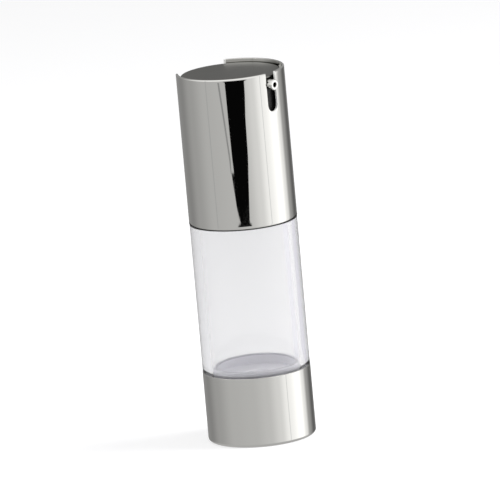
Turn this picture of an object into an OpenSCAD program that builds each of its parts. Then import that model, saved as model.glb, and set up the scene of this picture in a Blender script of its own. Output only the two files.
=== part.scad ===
// Airless pump bottle, resting on its base: origin at the centre of the resting
// face, +Z up, the nozzle towards -Y and the finger scoop towards +Y.

/* [Outer form] */
// Radius of the metal sleeve and of the metal base
outer_r = 17; // [16.5:0.1:18.5]
// Height from the resting face to the rim of the sleeve
total_h = 118; // [115:0.1:130]
// Length of the metal sleeve
sleeve_h = 48.3; // [47:0.1:50]
// Height of the metal base
base_h = 22.2; // [20:0.1:26]
// Wall of the metal sleeve and of the metal base
metal_t = 0.75; // [0.5:0.05:0.9]
// Round on the rim of the sleeve
rim_round = 0.35; // [0.1:0.05:0.45]
// Round on the foot of the base
foot_round = 1; // [0.5:0.1:1.5]
// Bevel on the edges that meet the clear wall
edge_bevel = 0.2; // [0.1:0.05:0.4]

/* [Clear bottle] */
// Thickness of the clear wall
clear_t = 3; // [2.6:0.1:3.2]
// Outer radius of the neck
neck_r = 11; // [10.6:0.1:11.3]
// Inner radius of the neck
neck_bore_r = 9; // [8:0.1:9.2]
// Height of the neck's top face over the sleeve's lower edge
neck_rise = 14.8; // [14.4:0.1:15.2]

/* [Button] */
// Depth of the button's top face under the rim
button_drop = 1.2; // [0.5:0.1:1.5]
// Travel of the button
travel = 6; // [4:0.5:6]
// Thickness of the plate on the button
plate_t = 0.6; // [0.4:0.1:1]
// Wall of the button's skirt
skirt_t = 1.2; // [1:0.1:1.5]
// Length of the button's skirt under the plate
skirt_h = 14.6; // [13:0.1:16]

/* [Nozzle] */
// Outer radius of the nozzle's head
nozzle_r = 1.7; // [1.4:0.05:1.8]
// Radius of the nozzle's bore
nozzle_bore_r = 0.75; // [0.5:0.05:0.9]
// Distance from the bottle's axis to the nozzle's tip
nozzle_reach = 18.4; // [18:0.05:21]
// Depth of the nozzle's axis under the rim
nozzle_drop = 3.85; // [3.75:0.05:4.1]

/* [Nozzle slot] */
// Width of the slot in the sleeve
slot_w = 4.35; // [4.2:0.05:5]
// Depth of the slot from the rim to its lowest point
slot_depth = 12.45; // [12.2:0.05:12.6]

/* [Finger scoop] */
// Width of the scoop in the sleeve
scoop_w = 22.5; // [16:0.5:26]
// Depth of the scoop from the rim
scoop_depth = 7.5; // [5:0.5:9]
// Radius of the scoop's two lower corners
scoop_round = 4; // [2:0.5:5]

/* [Follower piston] */
// Height of the follower piston
follower_h = 12.8; // [10:0.1:13]
// Depth of the cup in the top of the follower piston
cup_depth = 3.2; // [2.5:0.1:3.4]
// Radius of the dimple in the middle of that cup
dimple_r = 3.6; // [3:0.1:5]
// Depth of the dimple under the cup's floor
dimple_depth = 0.8; // [0.4:0.1:1]

/* [Pump] */
// Radius of the pump's chamber
chamber_r = 4.2; // [4.1:0.05:4.4]
// Outer radius of the stem
stem_r = 2.2; // [2.1:0.05:2.3]
// Radius of the bore in the stem
stem_bore_r = 1.2; // [1:0.05:1.3]
// Radius of the inlet ball
ball_r = 1.5; // [1.4:0.05:1.5]
// Lost motion between the seal and the stem
seal_play = 0.8; // [0.6:0.1:1]

/* [Spring] */
// Mean radius of the spring
coil_r = 4.6; // [4.4:0.05:4.7]
// Radius of the spring wire
wire_r = 0.4; // [0.3:0.05:0.4]
// Turns of the spring
coil_turns = 7; // [5:1:8]

/* [Hidden] */
$fn = 96;

over = 1;            // how far a cut runs past the solid
fit_gap = 0.05;      // between two pieces that are pushed together
run_gap = 0.06;      // between a sliding piece and its bore
metal_in_r = outer_r - metal_t;
clear_r = outer_r - 0.1;
bore_r = clear_r - clear_t;
step_r = metal_in_r - 0.1;

// Base
vent_r = 2.3;
base_recess_r = 11.5;
base_recess = 0.35;
base_floor = 1.1;
plug_floor = 1.2;
plug_skirt_h = 4.6;
plug_skirt_t = 1.4;
plug_z = base_floor;
bottle_z = plug_z + plug_floor;

// Bottle
sleeve_z = total_h - sleeve_h;
roof_z = sleeve_z + 2.2;
throat_z = roof_z + 3.1;
step_top_z = sleeve_z + 4;
shoulder_z = step_top_z + 3;
bead_z = shoulder_z + 2.7;
bead_out = 0.4;
bead_h = 1.4;
neck_z = sleeve_z + neck_rise;

// Follower piston
follower_z = base_h + 1.5;
lip_r = bore_r - run_gap;
waist_r = bore_r - 0.6;
cup_r = bore_r - 1.7;
follower_floor = 1.2;
lip_h = 1.3;
lip_lead = 0.4;

// Pump housing, its cap and what holds them on the neck
gasket_t = 0.8;
flange_t = 1.2;
flange_z = neck_z + gasket_t;
flange_top_z = flange_z + flange_t;
flange_r = neck_r - 0.1;
housing_r = chamber_r + 1.2;
housing_rim_h = 1.3;
chamber_z = neck_z - 9.3;
lip_t = 0.4;
ball_lip_r = ball_r - 0.3;
pocket_r = ball_r + 0.6;
inlet_r = 0.9;
ball_lift = 0.5;
ball_z = chamber_z - lip_t - sqrt(ball_r * ball_r - ball_lip_r * ball_lip_r) - ball_lift - fit_gap;
seat_z = ball_z - ball_r * sqrt(2) - 0.02;    // apex of the 45 degree seat under the ball
nose_r = 3;
nose_z = neck_z - 14.1;
nose_h = 3;
cap_r = housing_r + 1.6;
cap_roof = 1.5;
cap_top_z = flange_top_z + housing_rim_h + 0.2 + cap_roof;
cap_rim_h = 1.2;
cap_rim_t = 1.6;
wiper_t = 0.9;

collar_in_r = neck_r + 0.5;
collar_r = collar_in_r + 1.4;
collar_z = shoulder_z + 0.9;
collar_roof = 1.5;
collar_top_z = flange_top_z + collar_roof;
collar_hook_h = 1.5;

liner_r = metal_in_r - fit_gap;
liner_t = 0.7;
liner_z = step_top_z + 0.7;
liner_top_z = total_h - 12.8;
web_t = 1.5;
grip_t = 1.2;
grip_h = 8.8;

// Stem and seal
disc_t = 1;
disc_r = 3.4;
disc_z = chamber_z + travel + 0.6;
seal_z = disc_z + disc_t;
seal_hub_h = 1.4;
seal_ring_h = 3.2;
seal_ring_t = 0.55;
rod_r = 1.9;
stem_z = seal_z + seal_hub_h + seal_play;
spigot_h = 5;
port_r = 0.45;
feed_r = 0.8;

// Button and what is under it
button_r = liner_r - liner_t - 0.1;
plate_r = button_r + 0.2;
plate_z = total_h - button_drop - plate_t;
button_roof = 1.2;
nozzle_z = total_h - nozzle_drop;
hub_r = 4.5;
hub_clip_r = 5.7;
clip_h = 4.4;
rib_h = 3.4;
rib_t = 1;
spring_seat_z = plate_z - 10.1;
spring_seat_t = 1;
spring_seat_r = 6.2;
socket_r = 3.4;
socket_z = spring_seat_z - 5;
stem_top_z = plate_z - 6.1;
shank_r = 1.2;
head_y = 13.2;
shank_in_y = 8;
arm_w = 4.6;
arm_drop = 4.2;

// Spring
coil_rings = 8;
coil_sides = 6;
spring_lo_z = cap_top_z + wire_r + fit_gap;
spring_hi_z = spring_seat_z - wire_r - fit_gap;

// A tube from z, h high
module tube(r_out, r_in, z, h) {
    translate([0, 0, z]) difference() {
        cylinder(r = r_out, h = h);
        translate([0, 0, -over]) cylinder(r = r_in, h = h + 2 * over);
    }
}

// What a round of radius r takes off a corner, drawn from the round's centre
module corner_cut(r) {
    difference() {
        square(r + over);
        circle(r);
    }
}

// What a bevel of size c takes off a corner, drawn from the corner
module bevel_cut(c) {
    polygon([[-c, 0], [0, -c], [over, -c], [over, over], [-c, over]]);
}

module base_shell() {
    color("silver") rotate_extrude() difference() {
        square([outer_r, base_h]);
        translate([0, base_floor]) square([metal_in_r, base_h]);
        translate([0, -over]) square([base_recess_r, base_recess + over]);
        translate([0, -over]) square([vent_r, base_h]);
        translate([outer_r - foot_round, foot_round]) mirror([0, 1]) corner_cut(foot_round);
        translate([outer_r, base_h]) bevel_cut(edge_bevel);
    }
}

// Closes the bore from below; its hole lets air in under the follower
module base_plug() {
    skirt_r = bore_r - run_gap;
    color("white") {
        tube(step_r, vent_r, plug_z, plug_floor);
        tube(skirt_r, skirt_r - plug_skirt_t, bottle_z, plug_skirt_h);
        for (turn = [0, 120, 240]) rotate(turn)
            translate([vent_r + 2, -rib_t / 2, bottle_z])
                cube([skirt_r - plug_skirt_t - vent_r - 2 + fit_gap, rib_t, plug_skirt_h / 2]);
    }
}

module clear_bottle() {
    color("white", 0.3) rotate_extrude() polygon([
        [bore_r, bottle_z], [step_r, bottle_z], [step_r, base_h],
        [clear_r, base_h], [clear_r, sleeve_z], [step_r, sleeve_z],
        [step_r, step_top_z], [neck_r, shoulder_z], [neck_r, bead_z],
        [neck_r + bead_out, bead_z + bead_out], [neck_r, bead_z + bead_h], [neck_r, neck_z],
        [neck_bore_r, neck_z], [neck_bore_r, throat_z], [bore_r, roof_z],
    ]);
}

// A shallow cup on top with a dimple, a deeper one below, and a wiping lip at each end
module follower_piston() {
    low_z = follower_z - follower_h;
    cup_z = follower_z - cup_depth;
    dimple_z = cup_z - dimple_depth;
    color("lavender") rotate_extrude() polygon([
        [0, dimple_z], [dimple_r, dimple_z], [dimple_r + 1, cup_z], [cup_r, cup_z],
        [cup_r + 0.3, follower_z], [waist_r, follower_z],
        [lip_r, follower_z - lip_lead], [lip_r, follower_z - lip_h], [waist_r, follower_z - 2 * lip_h],
        [waist_r, low_z + 2 * lip_h], [lip_r, low_z + lip_h], [lip_r, low_z + lip_lead], [waist_r, low_z],
        [cup_r, low_z], [cup_r, cup_z - follower_floor], [dimple_r + 2, cup_z - follower_floor],
        [dimple_r + 1, dimple_z - follower_floor], [0, dimple_z - follower_floor],
    ]);
}

// Cuts the nozzle's slot, open at the rim, through any wall round the axis
module slot_cut() {
    translate([0, 0, total_h - slot_depth + slot_w / 2]) {
        rotate([90, 0, 0]) cylinder(d = slot_w, h = outer_r + over);
        translate([-slot_w / 2, -outer_r - over, 0]) cube([slot_w, outer_r + over, slot_depth]);
    }
}

// Cuts the finger scoop: upright sides, and two round corners at the bottom
module scoop_cut() {
    low_z = total_h - scoop_depth;
    corner_x = scoop_w / 2 - scoop_round;
    for (side = [-1, 1]) translate([side * corner_x, 0, low_z + scoop_round])
        rotate([-90, 0, 0]) cylinder(r = scoop_round, h = outer_r + over);
    translate([-corner_x, 0, low_z]) cube([2 * corner_x, outer_r + over, scoop_depth + over]);
    translate([-scoop_w / 2, 0, low_z + scoop_round]) cube([scoop_w, outer_r + over, scoop_depth]);
}

module head_sleeve() {
    color("silver") difference() {
        rotate_extrude() difference() {
            translate([metal_in_r, sleeve_z]) square([metal_t, sleeve_h]);
            translate([outer_r - rim_round, total_h - rim_round]) corner_cut(rim_round);
            translate([outer_r, sleeve_z]) mirror([0, 1]) bevel_cut(edge_bevel);
        }
        slot_cut();
        scoop_cut();
    }
}

// Lines the sleeve, guides the button's skirt and hooks the head onto the neck collar
module sleeve_liner() {
    grip_r = collar_r + run_gap;
    color("whitesmoke") {
        tube(liner_r, liner_r - liner_t, liner_z, liner_top_z - liner_z);
        tube(liner_r - liner_t + fit_gap, cap_r + 0.1, collar_top_z, web_t);
        tube(grip_r + grip_t, grip_r, collar_top_z - grip_h, grip_h + fit_gap);
    }
}

module neck_collar() {
    color("white") {
        tube(collar_r, collar_in_r, collar_z, collar_top_z - collar_z);
        tube(collar_in_r + fit_gap, cap_r + 0.1, flange_top_z, collar_roof);
        tube(collar_in_r + fit_gap, neck_r + 0.1, collar_z, collar_hook_h);
    }
}

module neck_gasket() {
    color("gainsboro") tube(flange_r, neck_bore_r, neck_z, gasket_t);
}

// Chamber above, ball pocket and inlet nose below
module pump_housing() {
    pocket_z = seat_z + pocket_r;
    wall_z = nose_z + nose_h + housing_r - nose_r;
    color("white") rotate_extrude() polygon([
        [inlet_r, nose_z], [nose_r, nose_z], [nose_r, nose_z + nose_h], [housing_r, wall_z],
        [housing_r, flange_z], [flange_r, flange_z], [flange_r, flange_top_z],
        [housing_r, flange_top_z], [housing_r, flange_top_z + housing_rim_h],
        [chamber_r, flange_top_z + housing_rim_h], [chamber_r, chamber_z], [ball_lip_r, chamber_z],
        [ball_lip_r, chamber_z - lip_t], [pocket_r, chamber_z - lip_t], [pocket_r, pocket_z],
        [inlet_r, seat_z + inlet_r],
    ]);
}

// Snaps over the housing's rim, guides the stem and seats the spring
module housing_cap() {
    color("white") {
        tube(cap_r, housing_r + fit_gap, flange_top_z, cap_top_z - cap_roof - flange_top_z);
        tube(cap_r, stem_r + run_gap, cap_top_z - cap_roof, cap_roof);
        tube(cap_r, cap_r - cap_rim_t, cap_top_z, cap_rim_h);
    }
}

// Soft ring under the cap that keeps air out round the stem
module stem_wiper() {
    wiper_z = cap_top_z - cap_roof - wiper_t;
    color("gainsboro") tube(chamber_r - fit_gap, stem_r + run_gap / 2, wiper_z, wiper_t);
}

module inlet_ball() {
    color("silver") translate([0, 0, ball_z]) sphere(r = ball_r);
}

// Disc that drives the seal, with a ported rod and a spigot that joins the upper stem
module lower_stem() {
    color("white") difference() {
        union() {
            translate([0, 0, disc_z]) cylinder(r = disc_r, h = disc_t);
            translate([0, 0, seal_z]) cylinder(r = rod_r, h = stem_z - seal_z);
            translate([0, 0, stem_z]) cylinder(r = stem_bore_r - fit_gap, h = spigot_h);
        }
        translate([0, 0, seal_z]) cylinder(r = feed_r, h = stem_z + spigot_h);
        for (turn = [0, 90]) rotate(turn) translate([0, 0, seal_z + 2 * port_r])
            rotate([90, 0, 0]) cylinder(r = port_r, h = 2 * disc_r, center = true);
    }
}

module upper_stem() {
    color("white") tube(stem_r, stem_bore_r, stem_z, stem_top_z - stem_z);
}

// Slides in the chamber, and a little on the rod, where it opens and shuts the ports
module pump_seal() {
    color("gainsboro") {
        tube(chamber_r - fit_gap, chamber_r - fit_gap - seal_ring_t, seal_z - disc_t / 2, seal_ring_h);
        tube(chamber_r - 2 * fit_gap, rod_r + fit_gap, seal_z, seal_hub_h);
    }
}

// Centre of the wire, t turns up from the lower end
function coil_point(t) = [
    coil_r * cos(360 * t), coil_r * sin(360 * t),
    spring_lo_z + (spring_hi_z - spring_lo_z) * t / coil_turns,
];

coil_path = [for (i = [0 : coil_turns * coil_rings]) coil_point(i / coil_rings)];
coil_gaps = [for (i = [0 : len(coil_path) - 1], j = [i + coil_rings - 1 : i + coil_rings + 1])
    if (j < len(coil_path)) norm(coil_path[j] - coil_path[i]) - 2 * wire_r];
echo("least gap between the spring's turns", min(coil_gaps));

// One unbroken wire: rings of points along the helix, each in an upright plane through the axis
module pump_spring() {
    last = len(coil_path) - 1;
    points = [for (i = [0 : last], s = [0 : coil_sides - 1])
        let (turn = 360 * i / coil_rings, a = 360 * s / coil_sides, r = coil_r + wire_r * cos(a))
        [r * cos(turn), r * sin(turn), coil_path[i][2] + wire_r * sin(a)]];
    sides = [for (i = [0 : last - 1], s = [0 : coil_sides - 1])
        let (a = i * coil_sides + s, b = i * coil_sides + (s + 1) % coil_sides)
        each [[a, a + coil_sides, b + coil_sides], [a, b + coil_sides, b]]];
    ends = [for (s = [1 : coil_sides - 2])
        let (top = last * coil_sides)
        each [[0, s, s + 1], [top, top + s + 1, top + s]]];
    color("silver") polyhedron(points = points, faces = concat(sides, ends));
}

// Hub that takes the stem, the spring's upper seat and the arm that feeds the nozzle
module actuator_core() {
    color("white") difference() {
        union() {
            translate([0, 0, socket_z]) cylinder(r = socket_r, h = plate_z - socket_z);
            translate([0, 0, spring_seat_z]) cylinder(r = spring_seat_r, h = spring_seat_t);
            translate([0, 0, spring_seat_z]) cylinder(r = hub_r, h = plate_z - spring_seat_z);
            translate([-arm_w / 2, -head_y, plate_z - arm_drop]) cube([arm_w, head_y, arm_drop]);
        }
        translate([0, 0, socket_z - over]) cylinder(r = stem_r + fit_gap, h = stem_top_z - socket_z + over);
        translate([0, 0, socket_z]) cylinder(r = stem_bore_r, h = nozzle_z - socket_z);
        translate([0, 0, nozzle_z]) rotate([90, 0, 0]) {
            cylinder(r = nozzle_bore_r, h = outer_r);
            translate([0, 0, shank_in_y]) cylinder(r = shank_r + fit_gap, h = outer_r);
        }
    }
}

// Button body: roof, skirt that slides in the liner, and a ribbed clip round the hub
module button_shell() {
    under_roof_z = plate_z - button_roof;
    notch_r = nozzle_r + 0.2;
    color("dimgray") difference() {
        union() {
            translate([0, 0, under_roof_z]) cylinder(r = button_r, h = button_roof);
            tube(button_r, button_r - skirt_t, plate_z - skirt_h, skirt_h);
            translate([0, 0, under_roof_z - clip_h]) cylinder(r = hub_clip_r, h = clip_h);
            for (turn = [45 : 90 : 315]) rotate(turn)
                translate([hub_r, -rib_t / 2, under_roof_z - rib_h])
                    cube([button_r - skirt_t - hub_r + fit_gap, rib_t, rib_h]);
        }
        translate([0, 0, plate_z - skirt_h]) cylinder(r = hub_r + fit_gap, h = skirt_h + over);
        translate([-arm_w / 2 - fit_gap, -button_r + skirt_t, plate_z - skirt_h])
            cube([arm_w + 2 * fit_gap, button_r - skirt_t, skirt_h + over]);
        translate([-notch_r, -button_r - over, nozzle_z - notch_r])
            cube([2 * notch_r, button_r, skirt_h]);
    }
}

module button_plate() {
    color([0.4, 0.4, 0.38]) rotate_extrude() difference() {
        translate([0, plate_z]) square([plate_r, plate_t]);
        translate([plate_r, plate_z + plate_t]) bevel_cut(plate_t / 4);
    }
}

module nozzle_tube() {
    color("silver") translate([0, 0, nozzle_z]) rotate([90, 0, 0]) rotate_extrude() difference() {
        union() {
            translate([nozzle_bore_r, shank_in_y]) square([shank_r - nozzle_bore_r, head_y - shank_in_y]);
            translate([nozzle_bore_r, head_y]) square([nozzle_r - nozzle_bore_r, nozzle_reach - head_y]);
        }
        translate([nozzle_r, nozzle_reach]) bevel_cut(edge_bevel);
    }
}

base_shell();
base_plug();
clear_bottle();
follower_piston();
head_sleeve();
sleeve_liner();
neck_collar();
neck_gasket();
pump_housing();
housing_cap();
stem_wiper();
inlet_ball();
lower_stem();
upper_stem();
pump_seal();
pump_spring();
actuator_core();
button_shell();
button_plate();
nozzle_tube();
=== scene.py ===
import math

import bmesh
import bpy
from mathutils import Matrix, Vector


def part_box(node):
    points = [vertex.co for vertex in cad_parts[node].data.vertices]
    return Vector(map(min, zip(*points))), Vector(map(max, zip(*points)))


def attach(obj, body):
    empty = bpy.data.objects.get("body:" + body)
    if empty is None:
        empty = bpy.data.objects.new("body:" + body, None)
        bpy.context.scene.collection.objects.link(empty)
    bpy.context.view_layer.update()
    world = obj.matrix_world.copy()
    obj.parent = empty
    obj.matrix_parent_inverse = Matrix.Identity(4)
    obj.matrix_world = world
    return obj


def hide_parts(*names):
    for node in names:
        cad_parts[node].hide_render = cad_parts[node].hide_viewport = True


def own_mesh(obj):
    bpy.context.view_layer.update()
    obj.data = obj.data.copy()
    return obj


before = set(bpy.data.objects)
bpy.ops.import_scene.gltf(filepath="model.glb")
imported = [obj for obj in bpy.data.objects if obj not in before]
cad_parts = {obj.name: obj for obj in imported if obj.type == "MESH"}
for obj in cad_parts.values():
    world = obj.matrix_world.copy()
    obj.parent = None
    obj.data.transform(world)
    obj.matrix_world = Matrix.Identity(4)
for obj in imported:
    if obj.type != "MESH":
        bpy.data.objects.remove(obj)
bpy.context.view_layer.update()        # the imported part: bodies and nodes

mm = 0.001


# Azimuths go round the bottle in degrees: 0 looks at the nozzle head on, 90 is +X
def towards(azimuth, elevation=0.0):
    a, e = math.radians(azimuth), math.radians(elevation)
    return Vector((math.sin(a) * math.cos(e), -math.cos(a) * math.cos(e), math.sin(e)))


# Camera

cameraSettings = {
    "azimuth": -47.5,
    "elevation": 12.34,
    "roll": -5.1,             # leans the bottle to the left in the picture
    "distance": 3000 * mm,
    "lens": 688.4,            # very long lens, so the sides stay parallel
    "aimHeight": 58 * mm,
    "moveRight": 1.11 * mm,
    "moveUp": 1.79 * mm,
}


def makeCamera():
    s = cameraSettings
    back = towards(s["azimuth"], s["elevation"])
    level = towards(s["azimuth"] + 90)
    roll = math.radians(s["roll"])
    right = level * math.cos(roll) + back.cross(level) * math.sin(roll)
    up = back.cross(right)
    data = bpy.data.cameras.new("camera")
    data.lens = s["lens"]
    data.sensor_width = 36
    camera = bpy.data.objects.new("camera", data)
    bpy.context.scene.collection.objects.link(camera)
    place = Vector((0, 0, s["aimHeight"])) + back * s["distance"]
    place += right * s["moveRight"] + up * s["moveUp"]
    camera.matrix_world = Matrix.Translation(place) @ Matrix((right, up, back)).transposed().to_4x4()
    bpy.context.scene.camera = camera
    bpy.context.scene.view_settings.view_transform = "Standard"


makeCamera()
print("camera placed")


# Colours and nodes

def linear(hexText):
    shares = [int(hexText[i:i + 2], 16) / 255 for i in (1, 3, 5)]
    return tuple(s / 12.92 if s <= 0.04045 else ((s + 0.055) / 1.055) ** 2.4 for s in shares) + (1,)


def addNode(tree, kind, settings=None, links=None):
    node = tree.nodes.new(kind)
    for name, value in (settings or {}).items():
        if isinstance(name, int) or name in node.inputs:
            node.inputs[name].default_value = value
        else:
            setattr(node, name, value)
    for name, source in (links or {}).items():
        tree.links.new(source, node.inputs[name])
    return node


# Settings of a map range node: which values it takes in, and what it makes of them
def fromTo(taken=(0, 1), given=(0, 1)):
    return {"From Min": taken[0], "From Max": taken[1], "To Min": given[0], "To Max": given[1]}


def newMaterial(name, settings):
    material = bpy.data.materials.new(name)
    material.use_nodes = True
    tree = material.node_tree
    shader = tree.nodes["Principled BSDF"]
    for socket, value in settings.items():
        shader.inputs[socket].default_value = value
    return material, tree, shader


def setRamp(ramp, stops):
    elements = ramp.color_ramp.elements
    while len(elements) < len(stops):
        elements.new(0.5)
    for element, (place, colour) in zip(elements, stops):
        element.position = place
        element.color = colour


# World: plain white to the eye and through the clear wall, and a studio tent to the metal

studioTent = {
    "front": -47.5,           # the azimuth that the tent's own zero faces
    "plainLight": 0.62,       # what falls on every dull surface, from all sides alike
    "behindWall": 1.0,        # seen through the clear wall
    "ceiling": 0.95,
    "backCeiling": 0.3,       # low over the back, where the button's flat plate looks
    "below": 0.45,            # straight down, where the base's foot and the nozzle's underside look
    "tint": "#fffefd",
    # where one part fades into the next, as the upward or backward share of the direction looked in
    "wallTop": (-0.02, 0.12),
    "overheadFrom": (0.55, 0.95),
    "belowFrom": (-0.3, -0.5),
    "backFrom": (-0.2, 0.6),
    # brightness of the tent's sides, by azimuth from its front
    "sides": [
        (-180, 0.30), (-134, 0.25), (-101, 0.36), (-60, 0.47), (-15, 0.50), (17, 0.57),
        (43, 0.73), (62, 0.98), (97, 1.30), (112, 0.88), (124, 0.36), (147, 0.12), (180, 0.30),
    ],
}


def makeWorld():
    s = studioTent
    world = bpy.data.worlds.new("studioTent")
    bpy.context.scene.world = world
    world.use_nodes = True
    tree = world.node_tree
    tree.nodes.clear()
    place = addNode(tree, "ShaderNodeTexCoord")
    turned = addNode(tree, "ShaderNodeVectorRotate",
                     {"rotation_type": "Z_AXIS", "Angle": math.radians(-s["front"])},
                     {"Vector": place.outputs["Generated"]})
    axes = addNode(tree, "ShaderNodeSeparateXYZ", None, {"Vector": turned.outputs[0]})
    front = addNode(tree, "ShaderNodeMath", {"operation": "MULTIPLY", 1: -1.0}, {0: axes.outputs["Y"]})
    azimuth = addNode(tree, "ShaderNodeMath", {"operation": "ARCTAN2"},
                      {0: axes.outputs["X"], 1: front.outputs[0]})
    share = addNode(tree, "ShaderNodeMapRange", fromTo((-math.pi, math.pi)), {"Value": azimuth.outputs[0]})
    sides = addNode(tree, "ShaderNodeValToRGB", None, {"Fac": share.outputs[0]})
    sides.color_ramp.interpolation = "EASE"
    brightest = max(brightness for turn, brightness in s["sides"])
    shades = [(turn, brightness / brightest) for turn, brightness in s["sides"]]
    setRamp(sides, [(turn / 360 + 0.5, (shade, shade, shade, 1)) for turn, shade in shades])
    sideLight = addNode(tree, "ShaderNodeMath", {"operation": "MULTIPLY", 1: brightest},
                        {0: sides.outputs[0]})
    # the ceiling: bright overhead, dimmer towards the back near the horizon
    backShare = addNode(tree, "ShaderNodeMapRange", fromTo(s["backFrom"], (s["ceiling"], s["backCeiling"])),
                        {"Value": axes.outputs["Y"]})
    height = addNode(tree, "ShaderNodeMapRange", fromTo(s["overheadFrom"]), {"Value": axes.outputs["Z"]})
    overhead = addNode(tree, "ShaderNodeMix", {"data_type": "FLOAT", "B": s["ceiling"]},
                       {"Factor": height.outputs[0], "A": backShare.outputs[0]})
    above = addNode(tree, "ShaderNodeMapRange", fromTo(s["wallTop"]), {"Value": axes.outputs["Z"]})
    tent = addNode(tree, "ShaderNodeMix", {"data_type": "FLOAT"},
                   {"Factor": above.outputs[0], "A": sideLight.outputs[0], "B": overhead.outputs[0]})
    under = addNode(tree, "ShaderNodeMapRange", fromTo(s["belowFrom"]), {"Value": axes.outputs["Z"]})
    tent = addNode(tree, "ShaderNodeMix", {"data_type": "FLOAT", "B": s["below"]},
                   {"Factor": under.outputs[0], "A": tent.outputs[0]})
    path = addNode(tree, "ShaderNodeLightPath")
    seenThrough = addNode(tree, "ShaderNodeMath", {"operation": "MAXIMUM"},
                          {0: path.outputs["Is Camera Ray"], 1: path.outputs["Is Transmission Ray"]})
    dull = addNode(tree, "ShaderNodeMix", {"data_type": "FLOAT", "A": s["plainLight"], "B": s["behindWall"]},
                   {"Factor": seenThrough.outputs[0]})
    # refracted rays count as glossy too, so they are taken out of the mirrored ones
    mirrored = addNode(tree, "ShaderNodeMath", {"operation": "SUBTRACT", "use_clamp": True},
                       {0: path.outputs["Is Glossy Ray"], 1: path.outputs["Is Transmission Ray"]})
    strength = addNode(tree, "ShaderNodeMix", {"data_type": "FLOAT"},
                       {"Factor": mirrored.outputs[0], "A": dull.outputs[0], "B": tent.outputs[0]})
    tint = addNode(tree, "ShaderNodeMix", {"data_type": "RGBA", 6: (1, 1, 1, 1), 7: linear(s["tint"])},
                   {"Factor": mirrored.outputs[0]})
    background = addNode(tree, "ShaderNodeBackground", None,
                         {"Color": tint.outputs[2], "Strength": strength.outputs[0]})
    addNode(tree, "ShaderNodeOutputWorld", None, {"Surface": background.outputs[0]})


makeWorld()


# Lamps: a soft key light and a weaker fill, for the dull surfaces and the shadow on the floor

lampSettings = {
    "keyLamp": {"azimuth": 40, "elevation": 48, "distance": 700 * mm, "size": 420 * mm, "watts": 3.6},
    "fillLamp": {"azimuth": -130, "elevation": 35, "distance": 800 * mm, "size": 500 * mm, "watts": 2.2},
}
lampAim = Vector((0, 0, 60 * mm))


def makeLamps():
    for name, s in lampSettings.items():
        data = bpy.data.lights.new(name, "AREA")
        data.shape = "DISK"
        data.size = s["size"]
        data.energy = s["watts"]
        lamp = bpy.data.objects.new(name, data)
        bpy.context.scene.collection.objects.link(lamp)
        back = towards(s["azimuth"], s["elevation"])
        lamp.location = lampAim + back * s["distance"]
        lamp.rotation_euler = back.to_track_quat("Z", "Y").to_euler()
        lamp.visible_glossy = False      # the metal mirrors the tent, not the lamps


makeLamps()


# Floor and studio cards

def meshObject(name, mesh):
    piece = bpy.data.objects.new(name, mesh)
    bpy.context.scene.collection.objects.link(piece)
    return piece


def flatSheet(name, corners):
    mesh = bpy.data.meshes.new(name)
    mesh.from_pydata([Vector(c) for c in corners], [], [list(range(len(corners)))])
    return meshObject(name, mesh)


floorSettings = {
    "halfSize": 3.0,
    "colour": "#d5d5d6",
    "ownLight": 0.42,         # lifts the lit floor to white for the eye, and leaves the shadow
    "lightThroughWall": 0.08,  # the same, for what the clear wall shows of it
}


def makeFloor():
    s = floorSettings
    h = s["halfSize"]
    floor = flatSheet("floor", [(-h, -h, 0), (h, -h, 0), (h, h, 0), (-h, h, 0)])
    material = bpy.data.materials.new("paperSweep")
    material.use_nodes = True
    tree = material.node_tree
    tree.nodes.clear()
    paper = addNode(tree, "ShaderNodeBsdfDiffuse", {"Color": linear(s["colour"])})
    path = addNode(tree, "ShaderNodeLightPath")
    strength = addNode(tree, "ShaderNodeMix",
                       {"data_type": "FLOAT", "A": s["lightThroughWall"], "B": s["ownLight"]},
                       {"Factor": path.outputs["Is Camera Ray"]})
    light = addNode(tree, "ShaderNodeEmission", None, {"Strength": strength.outputs[0]})
    both = addNode(tree, "ShaderNodeAddShader", None, {0: paper.outputs[0], 1: light.outputs[0]})
    addNode(tree, "ShaderNodeOutputMaterial", None, {"Surface": both.outputs[0]})
    floor.data.materials.append(material)
    floor.visible_glossy = False         # metal sees the tent's sides instead


makeFloor()


# A card lights nothing: it only shows in what mirrors it or, if it is behindWall, through the clear wall
def studioCard(name, corners, brightness, behindWall=False):
    card = flatSheet(name, corners)
    material = bpy.data.materials.new(name)
    material.use_nodes = True
    tree = material.node_tree
    tree.nodes.clear()
    grey = brightness if isinstance(brightness, tuple) else (brightness,) * 3
    light = addNode(tree, "ShaderNodeEmission", {"Color": (*grey, 1)})
    nothing = addNode(tree, "ShaderNodeBsdfTransparent")
    path = addNode(tree, "ShaderNodeLightPath")
    mirrored = addNode(tree, "ShaderNodeMath", {"operation": "SUBTRACT", 0: 1.0},
                       {1: path.outputs["Is Transmission Ray"]})
    shown = path.outputs["Is Transmission Ray"] if behindWall else mirrored.outputs[0]
    surface = addNode(tree, "ShaderNodeMixShader", None,
                      {0: shown, 1: nothing.outputs[0], 2: light.outputs[0]})
    addNode(tree, "ShaderNodeOutputMaterial", None, {"Surface": surface.outputs[0]})
    card.data.materials.append(material)
    card.visible_camera = card.visible_diffuse = card.visible_shadow = False
    card.visible_transmission = behindWall
    card.visible_glossy = not behindWall


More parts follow.
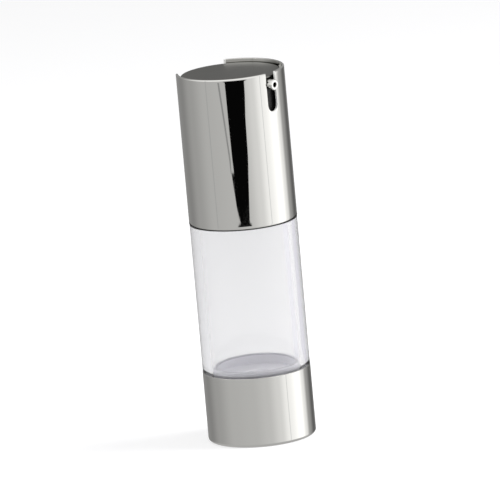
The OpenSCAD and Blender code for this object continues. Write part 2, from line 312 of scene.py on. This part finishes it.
# The black flag stands in front of the bottle, and the sleeve alone mirrors it. Its outline is given as
# it shows on the sleeve: height in mm, and the left and right edges in degrees from the sleeve's front
flagSettings = {
    "distance": 290,
    "apart": 2,                    # between the cards, in mm
    "mirrorRadius": 17,
    "slope": math.tan(math.radians(cameraSettings["elevation"])),  # how steeply the mirrored rays go down
    "strip": [
        (70.85, -2.0, 6.4), (72.2, -2.2, 6.5), (75.2, -4.1, 7.05), (78.1, -5.5, 7.6), (83.0, -6.4, 8.5),
        (87.3, -7.4, 9.25), (90.6, -8.0, 9.9), (90.75, -5.3, 9.95), (95.7, -5.9, 11.0), (109.7, -6.5, 11.9),
        (118, -6.6, 13.5), (170, -9, 17),
    ],
    "foot": [(70.3, -5.2, 8.3), (71.5, -6.6, 9.3), (72.9, -4.0, 7.6)],
    "greyEdge": [(90.6, -8.8, -7.9), (95.7, -9.2, -7.6), (109.7, -11.8, -10.1), (118, -13.6, -11.8),
                 (126, -15.2, -13.3)],
    "black": 0.002,
    "grey": 0.28,
}


def frontPoint(sideways, forwards, height):
    front = studioTent["front"]
    return (towards(front) * forwards + towards(front + 90) * sideways + Vector((0, 0, height))) * mm


# Where on a card the sleeve looks, at a given turn from its front and a given height
def mirroredPoint(turn, height, distance):
    s = flagSettings
    a, r = math.radians(turn), s["mirrorRadius"]
    travel = (distance - r * math.cos(a)) / math.cos(2 * a)
    sideways = r * math.sin(a) + travel * math.sin(2 * a)
    return frontPoint(sideways, distance, height - travel * s["slope"])


def mirroredCard(name, rows, distance, brightness, steps=6):
    def across(height, left, right):
        return [mirroredPoint(left + (right - left) * i / steps, height, distance) for i in range(1, steps)]

    leftSide = [mirroredPoint(left, height, distance) for height, left, right in rows]
    rightSide = [mirroredPoint(right, height, distance) for height, left, right in rows]
    studioCard(name, leftSide + across(*rows[-1]) + rightSide[::-1] + across(*rows[0])[::-1], brightness)


def makeFlag():
    s = flagSettings
    mirroredCard("blackFlag", s["strip"], s["distance"], s["black"])
    mirroredCard("flagFoot", s["foot"], s["distance"] - s["apart"], s["black"])
    mirroredCard("greyEdge", s["greyEdge"], s["distance"] + s["apart"], s["grey"])


makeFlag()

# Narrow gaps between the tent's panels show as fine upright lines in the metal. The left one ends above
# what the base mirrors
seamSettings = {
    "distance": 330 * mm,
    "top": 300 * mm,
    "seams": [
        {"azimuth": -55, "width": 11 * mm, "foot": -25 * mm, "brightness": 0.40},
        {"azimuth": 62, "width": 9 * mm, "foot": -100 * mm, "brightness": 0.72},
    ],
}


def makeSeams():
    up = Vector((0, 0, seamSettings["top"]))
    for i, s in enumerate(seamSettings["seams"]):
        azimuth = studioTent["front"] + s["azimuth"]
        middle = towards(azimuth) * seamSettings["distance"]
        across = towards(azimuth + 90) * (s["width"] / 2)
        down = Vector((0, 0, s["foot"]))
        corners = [middle - across + down, middle + across + down, middle + across + up, middle - across + up]
        studioCard("tentSeam" + str(i), corners, s["brightness"])


makeSeams()

# A pale lavender card lies on the floor behind the bottle: the thick right side of the wall shows it
sideCardSettings = {
    "corners": [(40, -85), (95, -85), (250, -330), (110, -330)],     # sideways and towards the camera, in mm
    "height": 0.5,
    "colour": (0.84, 0.83, 0.89),
}


def makeSideCard():
    s = sideCardSettings
    studioCard("sideCard", [frontPoint(x, y, s["height"]) for x, y in s["corners"]], s["colour"], True)


makeSideCard()


# Painted shade: a narrow black ring just under the sleeve, seen only in reflections, so that the sleeve's
# lower edge mirrors it as the dark line of the shaded gap there; nothing else mirrors it
gapShadeRingSettings = {"height": 69.3, "inner": 17.1, "outer": 18.7, "brightness": 0.02}


def makeGapShadeRing():
    s = gapShadeRingSettings
    up = Vector((0, 0, s["height"]))
    inner, outer = ([(towards(a) * s[radius] + up) * mm for a in range(0, 361, 5)]
                    for radius in ("inner", "outer"))
    studioCard("gapShadeRing", inner + outer[::-1], s["brightness"])


makeGapShadeRing()
print("world, lamps, floor and cards made")


# Mesh helpers

near = 0.05                        # places closer than this count as the same, in mm
onAxis = 1e-6                      # a radius under this counts as none, in mm


# A closed outline in millimetres whose corners are (r, z, round); a round of 0 stays sharp
def roundedOutline(corners, steps=4):
    points = []
    count = len(corners)
    for i, (x, y, size) in enumerate(corners):
        here = Vector((x, y))
        if size <= 0:
            points.append((x, y))
            continue
        before = (Vector(corners[i - 1][:2]) - here).normalized()
        after = (Vector(corners[(i + 1) % count][:2]) - here).normalized()
        half = before.angle(after) / 2
        reach = size / math.tan(half)
        centre = here + (before + after).normalized() * (size / math.sin(half))
        first, last = here + before * reach, here + after * reach
        startAngle = math.atan2(first.y - centre.y, first.x - centre.x)
        turn = math.atan2(last.y - centre.y, last.x - centre.x) - startAngle
        turn = (turn + math.pi) % (2 * math.pi) - math.pi
        for k in range(steps + 1):
            angle = startAngle + turn * k / steps
            points.append((centre.x + size * math.cos(angle), centre.y + size * math.sin(angle)))
    return points


# Splits straight stretches over the longest allowed, so that shading stays even along them
def evenOutline(points, longest):
    out = []
    for i, p in enumerate(points):
        q = points[(i + 1) % len(points)]
        length = math.dist(p, q)
        parts = max(1, math.ceil(length / longest)) if max(p[0], q[0]) > onAxis else 1
        out += [(p[0] + (q[0] - p[0]) * k / parts, p[1] + (q[1] - p[1]) * k / parts) for k in range(parts)]
    return out


# Turns a closed outline round the Z axis; points on the axis become one vertex each
def lathe(name, outline, segments):
    bm = bmesh.new()
    rings = []
    for r, z in outline:
        if r < onAxis:
            rings.append([bm.verts.new((0, 0, z * mm))] * segments)
        else:
            rings.append([bm.verts.new((towards(360 * s / segments) * r + Vector((0, 0, z))) * mm)
                          for s in range(segments)])
    for i, ring in enumerate(rings):
        following = rings[(i + 1) % len(rings)]
        if ring[0] is ring[1] and following[0] is following[1]:
            continue
        for s in range(segments):
            t = (s + 1) % segments
            corners = [ring[s], ring[t], following[t], following[s]]
            bm.faces.new(list(dict.fromkeys(corners)))
    bmesh.ops.recalc_face_normals(bm, faces=bm.faces)
    mesh = bpy.data.meshes.new(name)
    bm.to_mesh(mesh)
    bm.free()
    piece = meshObject(name, mesh)
    smooth(piece)
    return piece


def smooth(piece, sharpOver=35):
    piece.data.shade_smooth()
    piece.data.set_sharp_from_angle(angle=math.radians(sharpOver))
    weighted = piece.modifiers.new("evenShading", "WEIGHTED_NORMAL")
    weighted.keep_sharp = True


def dress(piece, material, body, slot, *nodes):
    piece.data.materials.clear()
    piece.data.materials.append(material)
    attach(piece, body)
    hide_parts(*nodes)


# Materials

metalSettings = {
    "colour": "#efefec",
    "hazeSize": 6 * mm,
    "polish": (0.018, 0.05),       # roughness where the mop cut best, and least
    "waveSize": 9 * mm,            # long swells that drawing leaves in the wall
    "waveSquash": 0.35,            # below 1 they are longer up the wall than round it
    "waveHeight": 0.0012 * mm,
}


# Drawn aluminium, mopped and bright anodised: mirror-like, faintly warm, with slow swells
def brightAluminium():
    s = metalSettings
    material, tree, shader = newMaterial("brightAnodisedAluminium", {
        "Base Color": linear(s["colour"]), "Metallic": 1})
    place = addNode(tree, "ShaderNodeTexCoord")
    haze = addNode(tree, "ShaderNodeTexNoise", {"Scale": 1 / s["hazeSize"], "Detail": 3, "Roughness": 0.6},
                   {"Vector": place.outputs["Object"]})
    rough = addNode(tree, "ShaderNodeMapRange", fromTo((0.35, 0.7), s["polish"]),
                    {"Value": haze.outputs["Fac"]})
    tree.links.new(rough.outputs[0], shader.inputs["Roughness"])
    stretched = addNode(tree, "ShaderNodeMapping", {"Scale": (1, 1, s["waveSquash"])},
                        {"Vector": place.outputs["Object"]})
    swell = addNode(tree, "ShaderNodeTexNoise", {"Scale": 1 / s["waveSize"], "Detail": 1},
                    {"Vector": stretched.outputs[0]})
    bump = addNode(tree, "ShaderNodeBump", {"Strength": 1, "Distance": s["waveHeight"]},
                   {"Height": swell.outputs["Fac"]})
    tree.links.new(bump.outputs[0], shader.inputs["Normal"])
    return material


milledSettings = {
    "colour": "#fbfbf9",
    "metallic": 0.1,               # the matt oxide on a cut face scatters light much as white paint does
    "grain": 0.2 * mm,
    "roughness": (0.35, 0.6),
}


# Aluminium where the slot and scoop were milled: fine-grained and pale, without the polish
def milledAluminium():
    s = milledSettings
    material, tree, shader = newMaterial("milledAluminium", {
        "Base Color": linear(s["colour"]), "Metallic": s["metallic"]})
    place = addNode(tree, "ShaderNodeTexCoord")
    grain = addNode(tree, "ShaderNodeTexNoise", {"Scale": 1 / s["grain"], "Detail": 3},
                    {"Vector": place.outputs["Object"]})
    rough = addNode(tree, "ShaderNodeMapRange", fromTo((0, 1), s["roughness"]),
                    {"Value": grain.outputs["Fac"]})
    tree.links.new(rough.outputs[0], shader.inputs["Roughness"])
    return material


satinSettings = {
    "colour": "#7b7b77",
    "lineSpacing": 0.25 * mm,      # real grit lines are finer; drawn coarse enough to show
    "lineDepth": 0.004 * mm,
    "lineTurn": 47.5,              # turns the lines to run across the photograph's view, in degrees
    "lineSquash": 0.02,            # how short the grain is across the lines, for its length along them
    "roughness": (0.25, 0.4),
}


# Satin aluminium, brushed one way: grey, with fine straight lines
def satinAluminium():
    s = satinSettings
    material, tree, shader = newMaterial("satinBrushedAluminium", {
        "Base Color": linear(s["colour"]), "Metallic": 1})
    place = addNode(tree, "ShaderNodeTexCoord")
    along = addNode(tree, "ShaderNodeVectorRotate",
                    {"rotation_type": "Z_AXIS", "Angle": math.radians(s["lineTurn"])},
                    {"Vector": place.outputs["Object"]})
    lines = addNode(tree, "ShaderNodeMapping", {"Scale": (s["lineSquash"], 1, 1)},
                    {"Vector": along.outputs[0]})
    grain = addNode(tree, "ShaderNodeTexNoise",
                    {"Scale": 1 / s["lineSpacing"], "Detail": 4, "Roughness": 0.7},
                    {"Vector": lines.outputs[0]})
    rough = addNode(tree, "ShaderNodeMapRange", fromTo((0, 1), s["roughness"]),
                    {"Value": grain.outputs["Fac"]})
    tree.links.new(rough.outputs[0], shader.inputs["Roughness"])
    bump = addNode(tree, "ShaderNodeBump", {"Strength": 0.5, "Distance": s["lineDepth"]},
                   {"Height": grain.outputs["Fac"]})
    tree.links.new(bump.outputs[0], shader.inputs["Normal"])
    return material


clearSettings = {
    "ior": 1.49,
    "tint": "#f1f1f5",
    "density": 32,                 # how strongly the tint takes light away, for each metre of wall
    "swellSize": 14 * mm,
    "swellHeight": 0.0015 * mm,
}


# Acrylic, moulded and flame clear: bright, thick at the sides, faintly cool where the wall is deep
def clearAcrylic():
    s = clearSettings
    material, tree, shader = newMaterial("clearAcrylic", {
        "Base Color": (1, 1, 1, 1), "Transmission Weight": 1, "IOR": s["ior"], "Roughness": 0})
    place = addNode(tree, "ShaderNodeTexCoord")
    swell = addNode(tree, "ShaderNodeTexNoise", {"Scale": 1 / s["swellSize"], "Detail": 1},
                    {"Vector": place.outputs["Object"]})
    bump = addNode(tree, "ShaderNodeBump", {"Strength": 1, "Distance": s["swellHeight"]},
                   {"Height": swell.outputs["Fac"]})
    tree.links.new(bump.outputs[0], shader.inputs["Normal"])
    inside = addNode(tree, "ShaderNodeVolumeAbsorption",
                     {"Color": linear(s["tint"]), "Density": s["density"]})
    tree.links.new(inside.outputs[0], tree.nodes["Material Output"].inputs["Volume"])
    return material


# Painted shade: a darker polyethylene colour than the rest of the follower, drawn as a fine dark line along
# its rim
plasticSettings = {
    "glueFilm": {"colour": "#e6e6e6", "roughness": 0.6, "grain": 0.5 * mm, "depth": 0.004 * mm},
    "followerPolyethylene": {"colour": "#f0eff5", "roughness": 0.38, "grain": 0.3 * mm, "depth": 0.002 * mm},
    "followerRimPaintedShade": {"colour": "#cac9d0", "roughness": 0.38, "grain": 0.3 * mm, "depth": 0.002 * mm},
    "whitePolypropylene": {"colour": "#ecece8", "roughness": 0.34, "grain": 0.4 * mm, "depth": 0.002 * mm},
    "softPolyethylene": {"colour": "#dcdfe2", "roughness": 0.45, "grain": 0.4 * mm, "depth": 0.002 * mm},
    "blackAbs": {"colour": "#0d0d0d", "roughness": 0.42, "grain": 0.25 * mm, "depth": 0.004 * mm},
}


flowSize = 5 * mm                  # of the patches where the melt cooled alike


# Moulded plastic: a faint spark-eroded grain, and shine that comes and goes where the melt cooled
def mouldedPlastic(name, extra=None):
    s = plasticSettings[name]
    settings = {"Base Color": linear(s["colour"]), "IOR": 1.5, **(extra or {})}
    material, tree, shader = newMaterial(name, settings)
    place = addNode(tree, "ShaderNodeTexCoord")
    flow = addNode(tree, "ShaderNodeTexNoise", {"Scale": 1 / flowSize, "Detail": 2},
                   {"Vector": place.outputs["Object"]})
    rough = addNode(tree, "ShaderNodeMapRange",
                    fromTo((0.3, 0.7), (s["roughness"] - 0.05, s["roughness"] + 0.06)),
                    {"Value": flow.outputs["Fac"]})
    tree.links.new(rough.outputs[0], shader.inputs["Roughness"])
    grain = addNode(tree, "ShaderNodeTexNoise", {"Scale": 1 / s["grain"], "Detail": 2},
                    {"Vector": place.outputs["Object"]})
    bump = addNode(tree, "ShaderNodeBump", {"Strength": 0.6, "Distance": s["depth"]},
                   {"Height": grain.outputs["Fac"]})
    tree.links.new(bump.outputs[0], shader.inputs["Normal"])
    return material


steelSettings = {
    "colour": "#c4c4c2",
    "grain": 0.15 * mm,
    "roughness": (0.14, 0.34),
}


# Drawn stainless wire: a little grey, with a fine unevenness in its shine from the die
def drawnSteel():
    s = steelSettings
    material, tree, shader = newMaterial("drawnStainlessSteel", {
        "Base Color": linear(s["colour"]), "Metallic": 1})
    place = addNode(tree, "ShaderNodeTexCoord")
    grain = addNode(tree, "ShaderNodeTexNoise", {"Scale": 1 / s["grain"], "Detail": 3},
                    {"Vector": place.outputs["Object"]})
    rough = addNode(tree, "ShaderNodeMapRange", fromTo((0, 1), s["roughness"]),
                    {"Value": grain.outputs["Fac"]})
    tree.links.new(rough.outputs[0], shader.inputs["Roughness"])
    return material


bright = brightAluminium()
cutMetal = milledAluminium()
satin = satinAluminium()
clear = clearAcrylic()
milky = mouldedPlastic("followerPolyethylene", {"Transmission Weight": 0.1})
# painted shade along the follower's rim
rimPaintedShade = mouldedPlastic("followerRimPaintedShade")
white = mouldedPlastic("whitePolypropylene")
soft = mouldedPlastic("softPolyethylene")
black = mouldedPlastic("blackAbs")
steel = drawnSteel()
glue = mouldedPlastic("glueFilm")
print("materials made")


# Metal sleeve of the head

sleeveSettings = {
    "wall": 0.75,
    "rimRound": 0.35,
    "edgeRound": 0.1,
    "roundSteps": 3,
    "sharpOver": 50,               # edges that turn further than this are rounded, in degrees
    "slotWidth": 4.35,
    "slotDepth": 12.45,
    "scoopWidth": 22.5,
    "scoopDepth": 7.5,
    "scoopRound": 4.0,
    "slotSteps": 8,
    "sideSteps": 150,
    "cornerSteps": 8,
    "scoopSteps": 12,
    "rowHeight": 1.2,
}


# The wall is a grid of upright columns: each runs from the lower edge to the bottom of the slot or
# scoop above it, and between them on to the rim
def makeSleeve():
    s = sleeveSettings
    low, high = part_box("head_sleeve")
    outR, lowZ, topZ = high.x / mm, low.z / mm, high.z / mm
    inR = outR - s["wall"]
    slotR = s["slotWidth"] / 2
    slotZ = topZ - s["slotDepth"] + slotR          # where the slot's straight sides begin
    scoopR = s["scoopWidth"] / 2
    scoopZ = topZ - s["scoopDepth"] + s["scoopRound"]
    flatX = scoopR - s["scoopRound"]

    # columns of half the wall: (function of radius giving the angle, ledge height, reaches the rim)
    def front(x):
        return lambda r: math.asin(x / r)

    def back(x):
        return lambda r: math.pi - math.asin(x / r)

    def between(share):
        return lambda r: (math.asin(slotR / r) * (1 - share) + (math.pi - math.asin(scoopR / r)) * share)

    half = []
    for i in range(s["slotSteps"]):
        a = math.pi / 2 * i / s["slotSteps"]
        half.append((front(slotR * math.sin(a)), slotZ - slotR * math.cos(a), False))
    for i in range(s["sideSteps"] + 1):
        share = i / s["sideSteps"]
        half.append((between(share), slotZ + (scoopZ - slotZ) * share, True))
    for i in range(1, s["cornerSteps"] + 1):
        b = math.pi / 2 * i / s["cornerSteps"]
        across, down = s["scoopRound"] * math.cos(b), s["scoopRound"] * math.sin(b)
        half.append((back(flatX + across), scoopZ - down, False))
    for i in range(1, s["scoopSteps"] + 1):
        half.append((back(flatX * (1 - i / s["scoopSteps"])), topZ - s["scoopDepth"], False))
    columns = [(angle, 1, ledge, tall) for angle, ledge, tall in half]
    columns += [(angle, -1, ledge, tall) for angle, ledge, tall in half[-2:0:-1]]

    lowRows = math.ceil((slotZ - lowZ) / s["rowHeight"])
    highRows = math.ceil((topZ - slotZ) / s["rowHeight"])
    bm = bmesh.new()
    skins = []
    for radius in (outR, inR):
        skin = []
        for angle, side, ledge, tall in columns:
            turn = angle(radius) * side
            heights = [lowZ + (ledge - lowZ) * k / lowRows for k in range(lowRows + 1)]
            if tall:
                heights += [ledge + (topZ - ledge) * k / highRows for k in range(1, highRows + 1)]
            skin.append([bm.verts.new((radius * math.sin(turn) * mm, -radius * math.cos(turn) * mm, z * mm))
                         for z in heights])
        skins.append(skin)
    outer, inner = skins
    count = len(columns)

    def wallFaces(skin):
        for i in range(count):
            a, b = skin[i], skin[(i + 1) % count]
            for k in range(min(len(a), len(b)) - 1):
                bm.faces.new((a[k], b[k], b[k + 1], a[k + 1]))

    def edgeFace(i, k, j, m, finish=0):
        face = bm.faces.new((outer[i][k], outer[j][m], inner[j][m], inner[i][k]))
        face.material_index = finish

    wallFaces(outer)
    wallFaces(inner)
    for i in range(count):
        j = (i + 1) % count
        edgeFace(i, 0, j, 0)
        shortest = min(len(outer[i]), len(outer[j])) - 1
        atLedge = shortest < lowRows + highRows      # the ledge of a slot or scoop, or else the rim
        edgeFace(i, shortest, j, shortest, 1 if atLedge else 0)
        if len(outer[i]) != len(outer[j]):           # one upright side of a slot or scoop
            tall = i if len(outer[i]) > len(outer[j]) else j
            for k in range(lowRows, lowRows + highRows):
                edgeFace(tall, k, tall, k + 1, 1)
    bmesh.ops.recalc_face_normals(bm, faces=bm.faces)
    bm.faces.index_update()
    cutFaces = [face.index for face in bm.faces if face.material_index == 1]

    # bevel weights: the outer edges at the rim and the foot take the full round, other edges a small one
    weight = bm.edges.layers.float.new("bevel_weight_edge")
    outerSet = {v for column in outer for v in column}
    for edge in bm.edges:
        if len(edge.link_faces) == 2 and edge.calc_face_angle(0) > math.radians(s["sharpOver"]):
            a, b = edge.verts
            atRim = min(a.co.z, b.co.z) > (topZ - near) * mm
            atFoot = max(a.co.z, b.co.z) < (lowZ + near) * mm
            wide = (atRim or atFoot) and a in outerSet and b in outerSet
            edge[weight] = 1.0 if wide else s["edgeRound"] / s["rimRound"]
    mesh = bpy.data.meshes.new("headSleeve")
    bm.to_mesh(mesh)
    bm.free()
    piece = meshObject("headSleeve", mesh)
    bevel = piece.modifiers.new("edges", "BEVEL")
    bevel.limit_method = "WEIGHT"
    bevel.width = s["rimRound"] * mm
    bevel.segments = s["roundSteps"]
    bevel.use_clamp_overlap = True
    piece.data.shade_smooth()
    weighted = piece.modifiers.new("evenShading", "WEIGHTED_NORMAL")
    weighted.keep_sharp = True
    dress(piece, bright, "bottle", "bright_metal", "head_sleeve")
    piece.data.materials.append(cutMetal)
    for i in cutFaces:
        piece.data.polygons[i].material_index = 1


makeSleeve()
print("sleeve made")


# Metal base

baseSettings = {
    "wall": 0.75, "floor": 1.1, "footRound": 1.0, "topRound": 0.12,
    "recess": 0.35, "recessRadius": 11.5, "ventRadius": 2.3,
    "bareRim": 0.15,               # how far below the rim the glue ends
    "segments": 288, "longest": 1.5,
}


def makeBase():
    s = baseSettings
    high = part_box("base_shell")[1]
    r, top = high.x / mm, high.z / mm
    inR = r - s["wall"]
    outline = roundedOutline([
        (s["recessRadius"], 0, 0.2), (r, 0, s["footRound"]),
        (r, top, s["topRound"]), (inR, top, s["topRound"]), (inR, s["floor"], 0.3),
        (s["ventRadius"], s["floor"], 0.1), (s["ventRadius"], s["recess"], 0.1),
        (s["recessRadius"], s["recess"], 0.15),
    ], 6)
    piece = lathe("baseCup", evenOutline(outline, s["longest"]), s["segments"])
    dress(piece, bright, "bottle", "bright_metal", "base_shell")
    # the film of glue that holds the clear wall leaves the cup's inside pale and matt
    piece.data.materials.append(glue)
    for face in piece.data.polygons:
        middle = face.center / mm
        if math.hypot(middle.x, middle.y) < inR + near and s["floor"] < middle.z < top - s["bareRim"]:
            face.material_index = 1


makeBase()
print("base made")


# Clear bottle

# Heights are above the ground, and each rise is above the sleeve's foot or what lies under it
bottleSettings = {
    "wall": 3.0, "stepDepth": 0.75, "baseHeight": 22.2, "sleeveHeight": 69.7,
    "stepRise": 4.0, "shoulderRise": 3.0, "roofRise": 2.2, "throatRise": 3.1,
    "neckRadius": 11.0, "neckBore": 9.0,
    "bead": (2.7, 0.4, 1.4),       # its rise above the shoulder, how far it stands out, and its height
    "segments": 288, "longest": 2.0,
}


def makeBottle():
    s = bottleSettings
    low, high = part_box("clear_bottle")
    r, bottom, top = high.x / mm, low.z / mm, high.z / mm
    bore = r - s["wall"]
    step = r - s["stepDepth"]
    roof = s["sleeveHeight"] + s["roofRise"]
    stepTop = s["sleeveHeight"] + s["stepRise"]
    shoulder = stepTop + s["shoulderRise"]
    beadRise, beadOut, beadHeight = s["bead"]
    bead = shoulder + beadRise
    outline = roundedOutline([
        (bore, bottom, 0.2), (step, bottom, 0.3), (step, s["baseHeight"], 0.05), (r, s["baseHeight"], 0.1),
        (r, s["sleeveHeight"], 0.1), (step, s["sleeveHeight"], 0.05), (step, stepTop, 0.3),
        (s["neckRadius"], shoulder, 0.4), (s["neckRadius"], bead, 0.05),
        (s["neckRadius"] + beadOut, bead + beadOut, 0.15), (s["neckRadius"], bead + beadHeight, 0.05),
        (s["neckRadius"], top, 0.2), (s["neckBore"], top, 0.2), (s["neckBore"], roof + s["throatRise"], 0.4),
        (bore, roof, 0.6),
    ], 4)
    piece = lathe("clearBody", evenOutline(outline, s["longest"]), s["segments"])
    dress(piece, clear, "bottle", "clear_wall", "clear_bottle")


makeBottle()
print("clear body made")


# Follower piston

followerSettings = {
    "height": 12.8, "cupDepth": 3.2, "dimpleRadius": 3.6, "dimpleDepth": 0.8, "floor": 1.2,
    "play": 0.06,                  # between the lips and the bore
    "wall": 1.7, "waist": 0.6,     # how far the cup and the waist lie inside the bore
    "cupDraft": 0.3,               # how much wider the cup is at its mouth
    "lipHeight": 1.3, "lipLead": 0.4,
    "rimShadeBand": 0.5,                # height of the painted darker line inside the rim
    "segments": 192, "longest": 1.5,
}


def makeFollower():
    s = followerSettings
    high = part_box("follower_piston")[1]
    lip, top = high.x / mm, high.z / mm
    bore = lip + s["play"]
    bottom = top - s["height"]
    cupZ = top - s["cupDepth"]
    dimpleZ = cupZ - s["dimpleDepth"]
    cup, waist = bore - s["wall"], bore - s["waist"]
    w, h, t = s["dimpleRadius"], s["lipHeight"], s["floor"]
    band, mouth = s["rimShadeBand"], cup + s["cupDraft"]
    bandRadius = cup + s["cupDraft"] * (1 - band / s["cupDepth"])
    outline = roundedOutline([
        (0, dimpleZ, 0), (w, dimpleZ, 0.3), (w + 1, cupZ, 0.3), (cup, cupZ, 0.4),
        (bandRadius, top - band, 0), (mouth, top, 0.15),
        (waist, top, 0.2), (lip, top - s["lipLead"], 0.12), (lip, top - h, 0.12), (waist, top - 2 * h, 0.5),
        (waist, bottom + 2 * h, 0.5), (lip, bottom + h, 0.12), (lip, bottom + s["lipLead"], 0.12),
        (waist, bottom, 0.2), (cup, bottom, 0.2), (cup, cupZ - t, 0.5),
        (w + 2, cupZ - t, 0.3), (w + 1, dimpleZ - t, 0.3), (0, dimpleZ - t, 0),
    ], 4)
    piece = lathe("wipingPiston", evenOutline(outline, s["longest"]), s["segments"])
    dress(piece, milky, "follower", "follower_plastic", "follower_piston")
    # painted shade: the rim's top and the top of the cup's inside take the darker colour, so a fine darker
    # line follows the rim
    piece.data.materials.append(rimPaintedShade)
    for face in piece.data.polygons:
        middle = face.center / mm
        if middle.z > top - band and math.hypot(middle.x, middle.y) < waist:
            face.material_index = 1


makeFollower()
print("follower made")


# Button plate

plateSettings = {"footRound": 0.05, "edgeRound": 0.15, "segments": 192, "longest": 2.0}


def makePlate():
    s = plateSettings
    low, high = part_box("button_plate")
    r, bottom, top = high.x / mm, low.z / mm, high.z / mm
    outline = roundedOutline([
        (0, bottom, 0), (r, bottom, s["footRound"]), (r, top, s["edgeRound"]), (0, top, 0),
    ], 4)
    piece = lathe("buttonDisc", evenOutline(outline, s["longest"]), s["segments"])
    dress(piece, satin, "actuator", "button_metal", "button_plate")


makePlate()


# Nozzle

nozzleSettings = {
    "shank": 1.2, "bore": 0.75, "headLength": 5.2,
    "edge": 0.25, "mouth": 0.18,   # rounds of the tip's outer edge and of its hole's
    "segments": 96, "longest": 0.6,
}


def makeNozzle():
    s = nozzleSettings
    low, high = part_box("nozzle_tube")
    r, tip, back = high.x / mm, -low.y / mm, -high.y / mm
    z = (low.z + high.z) / 2
    head = tip - s["headLength"]
    outline = roundedOutline([
        (s["bore"], back, 0.05), (s["shank"], back, 0.1), (s["shank"], head, 0.05), (r, head, 0.15),
        (r, tip, s["edge"]), (s["bore"], tip, s["mouth"]),
    ], 5)
    piece = lathe("nozzleTip", evenOutline(outline, s["longest"]), s["segments"])
    piece.data.transform(Matrix.Translation((0, 0, z)) @ Matrix.Rotation(math.radians(90), 4, "X"))
    dress(piece, bright, "actuator", "bright_metal", "nozzle_tube")


makeNozzle()
print("button plate and nozzle made")


# Return spring: one wire, wound round the pump's stem

springSettings = {
    "turns": 7, "wire": 0.4, "stepsPerTurn": 40, "wireSides": 12, "sharpOver": 50,
    "travel": 6 * mm,              # the button's travel, which presses the real spring flatter; the one drawn keeps the length the frame gives it
}


def makeSpring():
    s = springSettings
    low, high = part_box("pump_spring")
    coilR = high.x / mm - s["wire"]
    startZ, endZ = low.z / mm + s["wire"], high.z / mm - s["wire"]
    steps = s["turns"] * s["stepsPerTurn"]
    bm = bmesh.new()
    rings = []
    for i in range(steps + 1):
        turn = 2 * math.pi * i / s["stepsPerTurn"]
        z = startZ + (endZ - startZ) * i / steps
        ring = []
        for k in range(s["wireSides"]):
            a = 2 * math.pi * k / s["wireSides"]
            r = coilR + s["wire"] * math.cos(a)
            rise = s["wire"] * math.sin(a)
            ring.append(bm.verts.new(Vector((r * math.cos(turn), r * math.sin(turn), z + rise)) * mm))
        rings.append(ring)
    for a, b in zip(rings, rings[1:]):
        for k in range(s["wireSides"]):
            m = (k + 1) % s["wireSides"]
            bm.faces.new((a[k], b[k], b[m], a[m]))
    bm.faces.new(rings[0])
    bm.faces.new(rings[-1][::-1])
    bmesh.ops.recalc_face_normals(bm, faces=bm.faces)
    mesh = bpy.data.meshes.new("returnSpring")
    bm.to_mesh(mesh)
    bm.free()
    piece = meshObject("returnSpring", mesh)
    piece.data.shade_smooth()
    piece.data.set_sharp_from_angle(angle=math.radians(s["sharpOver"]))
    dress(piece, steel, "bottle", "steel", "pump_spring")
    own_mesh(piece)


makeSpring()
print("spring made")


# Finishes for the pieces that stay as the frame gives them

nodeFinishes = {
    "base_plug": white, "sleeve_liner": white, "neck_collar": white, "pump_housing": white,
    "housing_cap": white, "lower_stem": white, "upper_stem": white, "actuator_core": white,
    "neck_gasket": soft, "stem_wiper": soft, "pump_seal": soft,
    "button_shell": black, "inlet_ball": steel,
}
for nodeName, finish in nodeFinishes.items():
    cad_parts[nodeName].data.materials.clear()
    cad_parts[nodeName].data.materials.append(finish)
print("finishes given to", len(nodeFinishes), "frame nodes")
